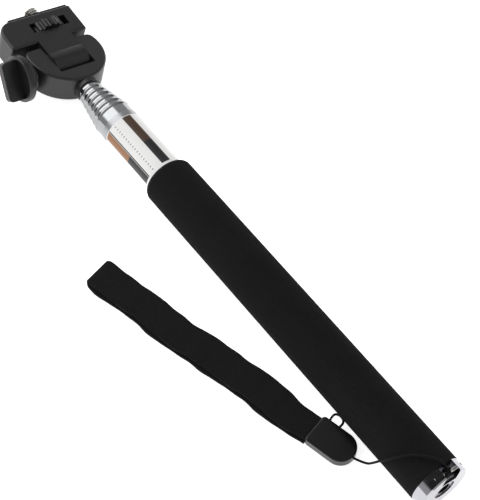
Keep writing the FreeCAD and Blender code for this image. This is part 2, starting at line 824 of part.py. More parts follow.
def clip_half(name, start, rounded_side):
    """One shell of the clip, lying flat, its outer edge rounded."""
    thickness, edge_radius = value("clip_half_thickness"), value("clip_edge")
    solid = Part.Face(clip_outline()).extrude(Vector(0, 0, thickness))
    outer = [edge for edge in solid.Edges if lies_at(edge, "z", rounded_side * thickness)]
    shell = doc.addObject("Part::Feature", name)
    shell.Shape = solid.makeFillet(edge_radius, outer)
    finish(name, shell, Placement(CLIP_TIP + Vector(0, 0, start), CLIP_TURN))


def clip():
    ground = value(GROUND)
    clip_half("clip_back", ground, 0)
    clip_half("clip_front", ground + value("clip_half_thickness + clip_joint"), 1)


def wrist_strap():
    """The folded webbing, both layers as one flat bar from the clip's end."""
    start, end = "clip_length", "clip_length + strap_length"
    half = "strap_width / 2"
    strap = block("strap", (start, end), (f"0 - {half}", half), ("0", "strap_thickness"))
    strap = rounded("strap", strap, [
        ("strap_corner", lambda edge: runs_along(edge, "z") and lies_at(edge, "x", value(end))),
    ])
    finish("wrist_strap", strap, Placement(CLIP_TIP + Vector(0, 0, value(GROUND)), CLIP_TURN))


def lanyard():
    string_knot()
    cord_tube("lanyard_string", STRING_ROUTE)
    cord_tube("string_loop", LOOP_ROUTE)
    clip()
    wrist_strap()


# ---------------------------------------------------------------- build and write

def write_parts():
    for node, thing in finished.items():
        settled(thing)
        thing.Shape.exportStep(f"parts/{node}.step")
    print(len(finished), "nodes written")


for build in (end_cap, lanyard_pin, foam_grip, base_buffer, tube_label, telescope, tube_plug, fork,
              neck_rivet, tilt_bolt, friction_washers, spring_washer, knob, knob_insert,
              platform_body, platform_pad, thumbwheel, camera_screw, lanyard):
    build()
write_parts()
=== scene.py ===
# %% [markdown]
# # A folded selfie stick
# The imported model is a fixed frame: every construction piece is there, at its real size and place.
# This lesson adds the finishes, the threads, the rolled rims, the ribbed grip and the soft lanyard.
# All lengths are in metres, so millimetres are written as a number times MM.

# %% Load the frame
import json
import math
import random

import bmesh
import bpy
from mathutils import Matrix, Vector


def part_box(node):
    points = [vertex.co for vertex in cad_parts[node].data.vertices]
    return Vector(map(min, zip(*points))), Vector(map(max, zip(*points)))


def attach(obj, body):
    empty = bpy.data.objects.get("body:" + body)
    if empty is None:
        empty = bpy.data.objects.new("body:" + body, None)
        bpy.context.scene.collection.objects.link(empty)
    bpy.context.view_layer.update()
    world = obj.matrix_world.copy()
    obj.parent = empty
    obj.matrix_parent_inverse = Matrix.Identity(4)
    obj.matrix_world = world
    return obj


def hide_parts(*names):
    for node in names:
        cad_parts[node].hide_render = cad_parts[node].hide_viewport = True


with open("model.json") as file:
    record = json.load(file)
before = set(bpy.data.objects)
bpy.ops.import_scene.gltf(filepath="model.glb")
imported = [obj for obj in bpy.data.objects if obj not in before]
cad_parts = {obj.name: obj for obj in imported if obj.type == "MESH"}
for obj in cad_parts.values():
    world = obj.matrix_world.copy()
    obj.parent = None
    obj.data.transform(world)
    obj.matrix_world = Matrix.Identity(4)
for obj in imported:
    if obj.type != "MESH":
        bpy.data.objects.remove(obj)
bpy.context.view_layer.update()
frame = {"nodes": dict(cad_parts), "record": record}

MM = 0.001

# %% [markdown]
# ## The camera
# The stick is looked down on from above its grip, on the side where the strap lies. A long lens from
# about half a metre keeps the tubes almost parallel. The camera is level, so the upright of the picture
# follows the upright of the world.

# %% Camera
CAMERA_PLACE = Vector((-105.24, 168.62, 454.26)) * MM
CAMERA_AIM = Vector((0.42152, -0.32013, -0.84843))
CAMERA_LENS = 100.8


def add_camera():
    lens = bpy.data.cameras.new("studio_camera")
    lens.lens = CAMERA_LENS
    lens.sensor_width = 36.0
    lens.clip_start = 10 * MM
    camera = bpy.data.objects.new("studio_camera", lens)
    camera.location = CAMERA_PLACE
    camera.rotation_euler = CAMERA_AIM.to_track_quat("-Z", "Y").to_euler()
    bpy.context.scene.collection.objects.link(camera)
    bpy.context.scene.camera = camera


add_camera()

# %% [markdown]
# ## Directions on the stick
# The head is rolled a little about the stick's axis. Its directions are read from the joints of the
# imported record, so a new roll needs no change here: `across` is the tilt axis, `face` points out of
# the fork's flat face, and `upright` is the camera screw's axis.

# %% Directions read from the joints
joints = {joint["name"]: joint for joint in frame["record"]["behaviour"]["joints"]}
along = Vector((1, 0, 0))
pivot = Vector(joints["head_tilt"]["pos_m"])
across = -Vector(joints["head_tilt"]["axis"])
face = along.cross(across)
upright = Vector(joints["camera_screw_turn"]["axis"])
screw_foot = Vector(joints["camera_screw_turn"]["pos_m"])


def span(node, direction, start=Vector((0, 0, 0))):
    """The lowest and highest place of a node along a direction, from a start."""
    places = [(vertex.co - start).dot(direction) for vertex in frame["nodes"][node].data.vertices]
    return min(places), max(places)


def turned_frame(origin, axis, side):
    """A matrix whose X runs along axis and whose Y is as near side as it can be."""
    x = axis.normalized()
    z = x.cross(side).normalized()
    y = z.cross(x)
    matrix = Matrix((x, y, z)).transposed().to_4x4()
    matrix.translation = origin
    return matrix


grip_low, grip_high = (Vector(corner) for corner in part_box("foam_grip"))
ground = grip_low.z
print("roll", math.degrees(math.asin(across.z)), "ground", ground)

# %% [markdown]
# ## Helpers for node trees and colours
# One function adds a node with its settings and links, and one turns a colour written as a web hex
# value into the linear numbers that the renderer works in.

# %% Node and colour helpers
def linear(hex_value):
    channels = [int(hex_value[start:start + 2], 16) / 255 for start in (1, 3, 5)]
    bent = [c / 12.92 if c <= 0.04045 else ((c + 0.055) / 1.055) ** 2.4 for c in channels]
    return (*bent, 1.0)


def add(tree, kind, links=None, **settings):
    """Adds a node. A setting that names a socket sets that socket, and any other sets the node."""
    made = tree.nodes.new(kind)
    for name, setting in settings.items():
        if hasattr(made, name):
            setattr(made, name, setting)
        else:
            made.inputs[name.replace("_", " ")].default_value = setting
    for name, source in (links or {}).items():
        tree.links.new(source, made.inputs[name])
    return made


def new_material(name, **surface):
    """A material with one Principled surface; surface sets that shader's own sockets."""
    material = bpy.data.materials.new(name)
    material.use_nodes = True
    tree = material.node_tree
    shader = tree.nodes["Principled BSDF"]
    for socket, setting in surface.items():
        shader.inputs[socket.replace("_", " ")].default_value = setting
    return material, tree, shader


def bump_from(tree, shader, height, depth_mm, strength=1.0):
    """Turns a 0 to 1 height into relief of a real depth."""
    bump = add(tree, "ShaderNodeBump", {"Height": height}, Strength=strength, Distance=depth_mm * MM)
    tree.links.new(bump.outputs["Normal"], shader.inputs["Normal"])


def grain(tree, coordinates, size_mm, detail=3.0, rough=0.6):
    """Noise whose lumps are about one real size."""
    return add(tree, "ShaderNodeTexNoise", {"Vector": coordinates}, Scale=1 / (size_mm * MM),
               Detail=detail, Roughness=rough).outputs["Fac"]


def between(tree, factor, low, high):
    """A colour ramp that runs smoothly from one colour to another."""
    ramp = add(tree, "ShaderNodeValToRGB", {"Fac": factor})
    ramp.color_ramp.elements[0].color = low
    ramp.color_ramp.elements[1].color = high
    return ramp


def wave_scale(size_mm):
    """The wave texture's scale for bands of a real width. The texture fits 20 radians in one unit."""
    return math.tau / 20 / (size_mm * MM)


def inside(tree, value, low, high, edge):
    """1 between low and high and 0 outside, with a soft edge of a given width."""
    rise = add(tree, "ShaderNodeMapRange", {"Value": value}, interpolation_type="SMOOTHSTEP",
               From_Min=low - edge, From_Max=low + edge)
    fall = add(tree, "ShaderNodeMapRange", {"Value": value}, interpolation_type="SMOOTHSTEP",
               From_Min=high + edge, From_Max=high - edge)
    both = add(tree, "ShaderNodeMath", {0: rise.outputs["Result"], 1: fall.outputs["Result"]},
               operation="MULTIPLY")
    return both.outputs["Value"]


def over(tree, mask, below, above):
    """Lays one colour over another where the mask is 1."""
    mix = add(tree, "ShaderNodeMix", {"Factor": mask}, data_type="RGBA")
    for index, colour in ((6, below), (7, above)):
        if isinstance(colour, tuple):
            mix.inputs[index].default_value = colour
        else:
            tree.links.new(colour, mix.inputs[index])
    return mix.outputs[2]


def object_coordinates(tree):
    return add(tree, "ShaderNodeTexCoord").outputs["Object"]

# %% [markdown]
# ## Polished stainless tube
# The seven tubes are drawn stainless steel, buffed with a wheel. Buffing leaves very fine lines along
# the tube, so the reflection is sharp across the tube and a little stretched along it. The noise is
# squeezed along X for that, and changes the roughness more than the shape.

# %% Polished stainless tube
def stretched(tree, coordinates, factor):
    """Coordinates drawn out along the stick by a factor."""
    return add(tree, "ShaderNodeMapping", {"Vector": coordinates},
               Scale=(1 / factor, 1, 1)).outputs["Vector"]


def polished_stainless():
    material, tree, shader = new_material("polished_stainless_tube", Metallic=1.0)
    lines = grain(tree, stretched(tree, object_coordinates(tree), 60), 0.25)
    haze = add(tree, "ShaderNodeMapRange", {"Value": lines}, To_Min=0.07, To_Max=0.2)
    tree.links.new(haze.outputs["Result"], shader.inputs["Roughness"])
    tint = between(tree, grain(tree, object_coordinates(tree), 9), linear("#989A9B"), linear("#A6A7A9"))
    tree.links.new(tint.outputs["Color"], shader.inputs["Base Color"])
    bump_from(tree, shader, lines, 0.002)
    return material

# %% [markdown]
# ## Chrome-plated zinc
# The end cap is die-cast zinc under bright chrome. Plating follows the slight waviness of the casting,
# so its reflections wobble over a few millimetres, and there is no grain at all. The recess round the
# socket is painted dark with light mottling: painted shade in the socket's hollow.

# %% Chrome-plated zinc
RECESS_RADIUS = 4.45 * MM


def chrome_plated_zinc():
    material, tree, shader = new_material("chrome_plated_zinc", Metallic=1.0)
    parts = add(tree, "ShaderNodeSeparateXYZ", {"Vector": object_coordinates(tree)}).outputs
    flat_place = add(tree, "ShaderNodeCombineXYZ", {"X": parts["Y"], "Y": parts["Z"]}).outputs["Vector"]
    reach = add(tree, "ShaderNodeVectorMath", {0: flat_place}, operation="LENGTH").outputs["Value"]
    # Painted shade: the socket's recess is coloured dark with light mottling, standing in for the
    # hollow's shade.
    recess_mottle_noise = grain(tree, object_coordinates(tree), 1.1)
    recess_shade_ramp = between(tree, recess_mottle_noise, linear("#2C2C2E"), linear("#A5A5A8"))
    recess_shade_ramp.color_ramp.elements[0].position = 0.42
    recess_shade_ramp.color_ramp.elements[1].position = 0.62
    recess = inside(tree, reach, -1.0, RECESS_RADIUS, 0.1 * MM)
    sunk = inside(tree, parts["X"], 0.2 * MM, 1.0, 0.05 * MM)
    recess_shade_mask = add(tree, "ShaderNodeMath", {0: recess, 1: sunk}, operation="MULTIPLY").outputs["Value"]
    colour = over(tree, recess_shade_mask, linear("#B2B2B7"), recess_shade_ramp.outputs["Color"])
    tree.links.new(colour, shader.inputs["Base Color"])
    wave = grain(tree, object_coordinates(tree), 4, detail=1.0)
    smear = grain(tree, object_coordinates(tree), 6)
    haze = add(tree, "ShaderNodeMapRange", {"Value": smear}, To_Min=0.04, To_Max=0.16)
    tree.links.new(haze.outputs["Result"], shader.inputs["Roughness"])
    bump_from(tree, shader, wave, 0.01, 0.3)
    return material

# %% [markdown]
# ## Moulded ABS
# The head is black ABS. Its mould was spark-eroded, which leaves a fine even matt grain of about a
# tenth of a millimetre. It is drawn three times coarser so that it shows. The clip comes from a
# polished mould, so it is smoother and glossier and only has the faint ripple of shrinkage.

# %% Moulded ABS, spark grained and polished
def spark_grained_abs():
    material, tree, shader = new_material("spark_grained_abs", IOR=1.52, Specular_IOR_Level=0.5)
    coordinates = object_coordinates(tree)
    sparks = grain(tree, coordinates, 0.3, detail=4.0, rough=0.7)
    clouds = grain(tree, coordinates, 6)
    colour = between(tree, clouds, linear("#141415"), linear("#1D1D1E"))
    tree.links.new(colour.outputs["Color"], shader.inputs["Base Color"])
    gloss = add(tree, "ShaderNodeMapRange", {"Value": sparks}, To_Min=0.28, To_Max=0.44)
    tree.links.new(gloss.outputs["Result"], shader.inputs["Roughness"])
    bump_from(tree, shader, sparks, 0.02, 0.6)
    return material


def polished_abs():
    material, tree, shader = new_material("polished_black_abs", IOR=1.54, Specular_IOR_Level=0.3)
    coordinates = object_coordinates(tree)
    ripple = grain(tree, coordinates, 5, detail=1.0)
    colour = between(tree, ripple, linear("#0A0A0B"), linear("#111112"))
    tree.links.new(colour.outputs["Color"], shader.inputs["Base Color"])
    scuffs = add(tree, "ShaderNodeMapRange", {"Value": grain(tree, coordinates, 4)},
                 To_Min=0.2, To_Max=0.27)
    tree.links.new(scuffs.outputs["Result"], shader.inputs["Roughness"])
    bump_from(tree, shader, ripple, 0.01, 0.3)
    return material

# %% [markdown]
# ## Rubber foam, solid rubber and acetal
# The grip is extruded nitrile rubber foam: coal black, soft, almost without gloss, with closed pores
# of a few tenths of a millimetre. The pad and the buffer are solid rubber. The sliding shoes and the
# plug are natural acetal, milky white and waxy.

# %% Rubber foam, solid rubber and acetal
def nitrile_foam():
    material, tree, shader = new_material("extruded_nitrile_foam", IOR=1.5, Specular_IOR_Level=0.12)
    coordinates = object_coordinates(tree)
    pores = add(tree, "ShaderNodeTexVoronoi", {"Vector": coordinates}, Scale=1 / (0.45 * MM),
                feature="SMOOTH_F1")
    drawn = grain(tree, stretched(tree, coordinates, 25), 0.8)
    patches = grain(tree, coordinates, 14)
    relief = add(tree, "ShaderNodeMath", {0: pores.outputs["Distance"], 1: drawn}, operation="ADD")
    colour = between(tree, patches, linear("#101011"), linear("#1A1A1B"))
    tree.links.new(colour.outputs["Color"], shader.inputs["Base Color"])
    dull = add(tree, "ShaderNodeMapRange", {"Value": drawn}, To_Min=0.62, To_Max=0.82)
    tree.links.new(dull.outputs["Result"], shader.inputs["Roughness"])
    bump_from(tree, shader, relief.outputs["Value"], 0.05, 0.5)
    return material


def moulded_rubber():
    material, tree, shader = new_material("moulded_rubber", IOR=1.52, Specular_IOR_Level=0.4)
    coordinates = object_coordinates(tree)
    dust = grain(tree, coordinates, 1.5)
    colour = between(tree, dust, linear("#151515"), linear("#242424"))
    tree.links.new(colour.outputs["Color"], shader.inputs["Base Color"])
    dull = add(tree, "ShaderNodeMapRange", {"Value": dust}, To_Min=0.6, To_Max=0.8)
    tree.links.new(dull.outputs["Result"], shader.inputs["Roughness"])
    bump_from(tree, shader, grain(tree, coordinates, 0.2), 0.01, 0.5)
    return material


def natural_acetal():
    material, tree, shader = new_material("natural_acetal", IOR=1.48, Subsurface_Weight=0.1)
    coordinates = object_coordinates(tree)
    cloud = grain(tree, coordinates, 3)
    colour = between(tree, cloud, linear("#DAD9D2"), linear("#ECEBE5"))
    tree.links.new(colour.outputs["Color"], shader.inputs["Base Color"])
    wax = add(tree, "ShaderNodeMapRange", {"Value": cloud}, To_Min=0.35, To_Max=0.5)
    tree.links.new(wax.outputs["Result"], shader.inputs["Roughness"])
    bump_from(tree, shader, grain(tree, coordinates, 0.3), 0.005, 0.5)
    return material

# %% [markdown]
# ## Plated screws and turned brass
# Screws are rolled steel under nickel. Rolling leaves rings around them, and nickel is a little
# yellower and softer than chrome. The knob's insert is brass turned on a lathe.

# %% Plated screws and turned brass
def nickel_plated_steel():
    material, tree, shader = new_material("nickel_plated_steel", Metallic=1.0)
    coordinates = object_coordinates(tree)
    handling = grain(tree, coordinates, 0.6)
    colour = between(tree, grain(tree, coordinates, 2.5), linear("#BDBBB6"), linear("#DAD8D3"))
    tree.links.new(colour.outputs["Color"], shader.inputs["Base Color"])
    haze = add(tree, "ShaderNodeMapRange", {"Value": handling}, To_Min=0.18, To_Max=0.34)
    tree.links.new(haze.outputs["Result"], shader.inputs["Roughness"])
    bump_from(tree, shader, handling, 0.006, 0.5)
    return material


def turned_brass():
    material, tree, shader = new_material("turned_brass", Metallic=1.0)
    coordinates = object_coordinates(tree)
    rings = add(tree, "ShaderNodeTexWave", {"Vector": coordinates}, bands_direction="X",
                Scale=wave_scale(0.4), Distortion=0.4).outputs["Fac"]
    colour = between(tree, rings, linear("#B08A48"), linear("#CDA968"))
    tree.links.new(colour.outputs["Color"], shader.inputs["Base Color"])
    haze = add(tree, "ShaderNodeMapRange", {"Value": rings}, To_Min=0.2, To_Max=0.32)
    tree.links.new(haze.outputs["Result"], shader.inputs["Roughness"])
    bump_from(tree, shader, rings, 0.004, 0.5)
    return material

# %% [markdown]
# ## Printed label film
# The outer tube wears a thin film, printed white. At its head end the film is clear, so the steel
# shows through. Its print is kept plain: two lengthwise bars, brown or tan towards the head and black
# towards the grip, and a row of fine ticks. A thin dark line beside the tan bar is a painted
# reflection.
# The place round the tube is an angle from the top, worked out from Y and Z, and the place along it is
# X.

# %% Printed label film
LABEL_START, LABEL_END = (corner[0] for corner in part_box("tube_label"))
INK_CHANGE = LABEL_START + 0.45 * (LABEL_END - LABEL_START)
CLEAR_EDGE = 2.6 * MM
TICK_SPACING = 1.5
BROWN_BAR, TICK_ROW, DARK_REFLECTION_LINE, TAN_BAR = (-24, 3), (30, 35), (53, 57), (58, 84)


def printed_film():
    material, tree, shader = new_material("printed_label_film", IOR=1.46, Roughness=0.32)
    coordinates = object_coordinates(tree)
    parts = add(tree, "ShaderNodeSeparateXYZ", {"Vector": coordinates}).outputs
    angle = add(tree, "ShaderNodeMath", {0: parts["Y"], 1: parts["Z"]},
                operation="ARCTAN2").outputs["Value"]
    place = parts["X"]
    soft = 0.15 * MM
    towards_grip = inside(tree, place, LABEL_START - 5 * MM, INK_CHANGE, soft)
    brown_bar = over(tree, towards_grip, linear("#4A3626"), linear("#17171B"))
    tan_bar = over(tree, towards_grip, linear("#9C6B43"), linear("#17171B"))
    print_start, print_end = LABEL_START + 1.5 * MM, LABEL_END - CLEAR_EDGE - 0.3 * MM
    lengthwise = inside(tree, place, print_start, print_end, soft)

    def bar(low, high):
        """A lengthwise bar between two angles in degrees."""
        arc = inside(tree, angle, math.radians(low), math.radians(high), 0.012)
        return add(tree, "ShaderNodeMath", {0: arc, 1: lengthwise},
                   operation="MULTIPLY").outputs["Value"]

    ticks = add(tree, "ShaderNodeTexWave", {"Vector": coordinates}, bands_direction="X",
                wave_profile="TRI", Scale=wave_scale(TICK_SPACING)).outputs["Fac"]
    thin = inside(tree, ticks, 0.72, 1.2, 0.05)
    tick_row = add(tree, "ShaderNodeMath", {0: thin, 1: bar(*TICK_ROW)},
                   operation="MULTIPLY").outputs["Value"]
    colour = over(tree, tick_row, linear("#FAFAF8"), linear("#77797C"))
    # Painted reflection: a thin dark grey line laid beside the tan bar.
    colour = over(tree, bar(*DARK_REFLECTION_LINE), colour, linear("#3A3A3D"))
    colour = over(tree, bar(*BROWN_BAR), colour, brown_bar)
    colour = over(tree, bar(*TAN_BAR), colour, tan_bar)
    clear = inside(tree, place, LABEL_END - CLEAR_EDGE, LABEL_END + MM, 0.05 * MM)
    colour = over(tree, clear, colour, linear("#A2A3A5"))
    tree.links.new(clear, shader.inputs["Metallic"])
    tree.links.new(colour, shader.inputs["Base Color"])
    bump_from(tree, shader, grain(tree, coordinates, 2.0), 0.01, 0.3)
    return material

# %% [markdown]
# ## Braided cord and woven webbing
# The string is a braid of polyester yarns about 0.3 mm wide, so a pattern of small cells gives it its
# knobbly look. The strap is a narrow webbing woven with thick cross threads 0.9 mm apart. Its pattern
# follows the piece's own UV map, whose units are metres along and across, so it bends with the strap.

# %% Braided cord and woven webbing
def uv_parts(tree):
    weave_map = add(tree, "ShaderNodeTexCoord").outputs["UV"]
    return add(tree, "ShaderNodeSeparateXYZ", {"Vector": weave_map}).outputs


def sine(tree, value, length):
    """A wave between 0 and 1 that repeats over a length."""
    turned = add(tree, "ShaderNodeMath", {0: value}, operation="MULTIPLY")
    turned.inputs[1].default_value = math.tau / length
    wave = add(tree, "ShaderNodeMath", {0: turned.outputs["Value"]}, operation="SINE")
    return add(tree, "ShaderNodeMapRange", {"Value": wave.outputs["Value"]},
               From_Min=-1.0).outputs["Result"]


def braided_polyester():
    material, tree, shader = new_material("braided_polyester_cord", IOR=1.5, Roughness=0.75,
                                          Specular_IOR_Level=0.12)
    coordinates = object_coordinates(tree)
    yarns = add(tree, "ShaderNodeTexVoronoi", {"Vector": coordinates}, Scale=1 / (0.3 * MM))
    colour = between(tree, yarns.outputs["Distance"], linear("#0C0C0D"), linear("#1E1E20"))
    tree.links.new(colour.outputs["Color"], shader.inputs["Base Color"])
    bump_from(tree, shader, yarns.outputs["Distance"], 0.06, 0.8)
    return material


def woven_webbing():
    material, tree, shader = new_material("woven_polyester_webbing", IOR=1.5, Specular_IOR_Level=0.15)
    parts = uv_parts(tree)
    cross_threads = sine(tree, parts["X"], 0.9 * MM)
    warp_threads = sine(tree, parts["Y"], 0.7 * MM)
    weave = add(tree, "ShaderNodeMath", {0: cross_threads, 1: warp_threads},
                operation="MULTIPLY").outputs["Value"]
    fuzz = grain(tree, object_coordinates(tree), 0.35)
    relief = add(tree, "ShaderNodeMath", {0: weave, 1: fuzz}, operation="ADD").outputs["Value"]
    patches = grain(tree, object_coordinates(tree), 5)
    threads = between(tree, weave, linear("#111112"), linear("#232325"))
    colour = over(tree, patches, threads.outputs["Color"], linear("#19191A"))
    tree.links.new(colour, shader.inputs["Base Color"])
    dull = add(tree, "ShaderNodeMapRange", {"Value": fuzz}, To_Min=0.7, To_Max=0.9)
    tree.links.new(dull.outputs["Result"], shader.inputs["Roughness"])
    bump_from(tree, shader, relief, 0.12, 0.7)
    return material


FINISHES = {
    "polished_tube": polished_stainless(),
    "chrome_cap": chrome_plated_zinc(),
    "black_plastic": spark_grained_abs(),
    "gloss_black_plastic": polished_abs(),
    "grip_foam": nitrile_foam(),
    "black_rubber": moulded_rubber(),
    "white_plastic": natural_acetal(),
    "plated_screw": nickel_plated_steel(),
    "brass_insert": turned_brass(),
    "label_film": printed_film(),
    "black_cord": braided_polyester(),
    "webbing": woven_webbing(),
}
FINISHES["steel_small"] = FINISHES["plated_screw"]
print("finishes", len(FINISHES))

# %% [markdown]
# ## Finishes on the construction pieces
# Each construction piece keeps its shape and gets the finish that the record's material slot names.

# %% Dress the construction pieces
def dress():
    for part in frame["record"]["subparts"]:
        piece = frame["nodes"][part["node"]]
        piece.data.materials.clear()
        piece.data.materials.append(FINISHES[part["material_slot"]])


dress()

# %% [markdown]
# ## From a sketch of points to a piece
# A few small helpers: one links a mesh as a named piece that rides on a body and takes a finish, one
# makes a smooth line from control points, and one lathes an outline round an axis.

# %% Piece helpers
def add_piece(name, mesh, body, slot, replaced=()):
    """Links a mesh as a piece of the stick."""
    piece = bpy.data.objects.new(name, mesh)
    bpy.context.scene.collection.objects.link(piece)
    piece.data.materials.clear()
    piece.data.materials.append(FINISHES[slot])
    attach(piece, body)
    if replaced:
        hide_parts(*replaced)
    return piece


def smooth_line(name, points, radius):
    """A round cord whose line is one smooth spline with the points as its controls."""
    curve = bpy.data.curves.new(name, "CURVE")
    curve.dimensions = "3D"
    curve.bevel_depth = radius
    curve.bevel_resolution = 5
    curve.resolution_u = 16
    curve.use_fill_caps = True
    spline = curve.splines.new("NURBS")
    spline.points.add(len(points) - 1)
    for control, place in zip(spline.points, points):
        control.co = (*place, 1)
    spline.order_u = 3
    spline.use_endpoint_u = True
    return curve


def curve_mesh(curve):
    """The curve as a plain mesh."""
    holder = bpy.data.objects.new("holder", curve)
    bpy.context.scene.collection.objects.link(holder)
    depsgraph = bpy.context.evaluated_depsgraph_get()
    mesh = bpy.data.meshes.new_from_object(holder.evaluated_get(depsgraph))
    bpy.data.objects.remove(holder)
    return mesh


def shade_smooth(mesh, degrees=40):
    """Smooth shading with edges sharper than an angle kept crisp."""
    mesh.shade_smooth()
    mesh.set_sharp_from_angle(angle=math.radians(degrees))
    return mesh


def lathed(name, outline, steps, matrix, swell=None):
    """Turns an outline of (place along, radius) round X. A radius of 0 closes an end in one point,
    and swell may change each radius."""
    build = bmesh.new()
    rings = []
    for place, radius in outline:
        if radius == 0:
            rings.append([build.verts.new((place, 0, 0))] * steps)
            continue
        ring = []
        for step in range(steps):
            turn = math.tau * step / steps
            out = swell(place, radius, turn) if swell else radius
            ring.append(build.verts.new((place, out * math.cos(turn), out * math.sin(turn))))
        rings.append(ring)
    bands = list(zip(rings, rings[1:]))
    if outline[0][1] > 0:
        bands.append((rings[-1], rings[0]))
    for inner, outer in bands:
        for step in range(steps):
            following = (step + 1) % steps
            corners = (inner[step], inner[following], outer[following], outer[step])
            build.faces.new(list(dict.fromkeys(corners)))
    bmesh.ops.recalc_face_normals(build, faces=build.faces)
    mesh = bpy.data.meshes.new(name)
    build.to_mesh(mesh)
    build.free()
    mesh.transform(matrix)
    return shade_smooth(mesh)

# %% [markdown]
# ## The lanyard string
# A single limp string leaves its turns round the cap's pin, goes over the grip and down beside it, and
# ends in the clip. It is one smooth line whose control points are listed.

# %% The lanyard string
STRING_DIAMETER = 0.9 * MM
STRING_ROUTE = [Vector(point) * MM for point in (
    (3.0, -2.7, 8.9),
    (5.2, -2.0, 12.4),
    (9.5, 0.8, 12.3),
    (13.6, 4.4, 11.4),
    (16.4, 7.9, 9.4),
    (18.8, 10.6, 6.1),
    (21.2, 11.9, 2.1),
    (23.2, 12.2, -2.6),
    (25.8, 13.0, -7.4),
    (30.4, 14.7, -8.25),
)]


def lanyard_string():
    curve = smooth_line("lanyard_cord", STRING_ROUTE, STRING_DIAMETER / 2)
    return add_piece("lanyard_cord", curve, "handle", "black_cord", ("lanyard_string",))


def string_turns():
    """Three turns round the lanyard pin, as a helix of control points."""
    low, high = (Vector(corner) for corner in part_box("string_knot"))
    centre = (low + high) / 2
    pin_low, pin_high = span("lanyard_pin", face, centre)
    reach = (pin_high - pin_low) / 2 + STRING_DIAMETER / 2
    turns, steps = 3, 12
    points = []
    for step in range(turns * steps + 1):
        turn = math.tau * step / steps
        shift = (step / (turns * steps) - 0.5) * (turns - 0.4) * STRING_DIAMETER
        bulge = reach / math.cos(math.pi / steps)
        outwards = face * math.cos(turn) + along * math.sin(turn)
        points.append(centre + across * shift + outwards * bulge)
    mesh = curve_mesh(smooth_line("string_turns", points, STRING_DIAMETER / 2))
    return add_piece("string_turns", mesh, "handle", "black_cord", ("string_knot",))


def side_loop():
    """The small loop of string that stands out of the clip's side."""
    points = [Vector(point) * MM for point in (
        (46.6, 12.7, -8.2),
        (48.6, 9.5, -8.2),
        (45.6, 7.6, -8.2),
        (42.6, 9.0, -8.2),
        (42.9, 11.8, -8.2),
    )]
    mesh = curve_mesh(smooth_line("side_loop", points, STRING_DIAMETER / 2))
    return add_piece("side_loop", mesh, "handle", "black_cord", ("string_loop",))


cord = lanyard_string()
turns_piece = string_turns()
loop_piece = side_loop()

# %% [markdown]
# ## The wrist strap
# The strap is one length of webbing folded in half, its two ends held in the clip. It is drawn as a
# path in side view, out along the ground, round the fold and back on top. At each step of the path a
# row of points goes across. The rows waver a little sideways, since cut webbing never lies quite
# straight, and the lower layer shows as a strip along one side. Solidify then gives it its thickness.

# %% The wrist strap
WEBBING_THICKNESS = 0.95 * MM
LAYER_GAP = 0.25 * MM
FOLD_STEPS = 12
FOLD_CORNER = 2.4 * MM
GATHERED_LENGTH = 16 * MM
GATHERED_SHARE = 0.83
UNDERLAP = 0.9 * MM
clip_tip = STRING_ROUTE[-1]


def plan_centre(node):
    low, high = (Vector(corner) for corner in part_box(node))
    middle = (low + high) / 2
    return Vector((middle.x, middle.y, clip_tip.z))


lying = (plan_centre("wrist_strap") - clip_tip).normalized()
sideways = Vector((0, 0, 1)).cross(lying)


def waver(seed, size, longest):
    """A smooth wandering line, the sum of three waves with chosen lengths and random starts."""
    chance = random.Random(seed)
    waves = [(size / count, longest / count, chance.uniform(0, math.tau)) for count in (1, 2, 3)]

    def height(place):
        return sum(high * math.sin(math.tau * place / length + start) for high, length, start in waves)

    return height


def folded_path(start, end, low, high):
    """(along, up, share of the fold) at about every millimetre, from the clip and back."""
    bend = (high - low) / 2
    turn_place = end - bend - WEBBING_THICKNESS / 2
    steps = round((turn_place - start) / MM)
    out = [(start + (turn_place - start) * step / steps, low, 0.0) for step in range(steps)]
    fold = [(turn_place + bend * math.sin(math.pi * share),
             (low + high) / 2 - bend * math.cos(math.pi * share), share)
            for share in (step / FOLD_STEPS for step in range(FOLD_STEPS + 1))]
    back = [(along_place, high, 1.0) for along_place, up, share in reversed(out)]
    return out + fold + back


def half_width(along_place, start, end, widest):
    """Gathered at the clip, full width beyond it, and rounded off at the fold."""
    opened = min(1.0, (along_place - start) / GATHERED_LENGTH)
    gathered = GATHERED_SHARE + (1 - GATHERED_SHARE) * opened
    short = max(0.0, FOLD_CORNER - (end - along_place))
    return widest * gathered - (FOLD_CORNER - math.sqrt(max(0.0, FOLD_CORNER ** 2 - short ** 2)))


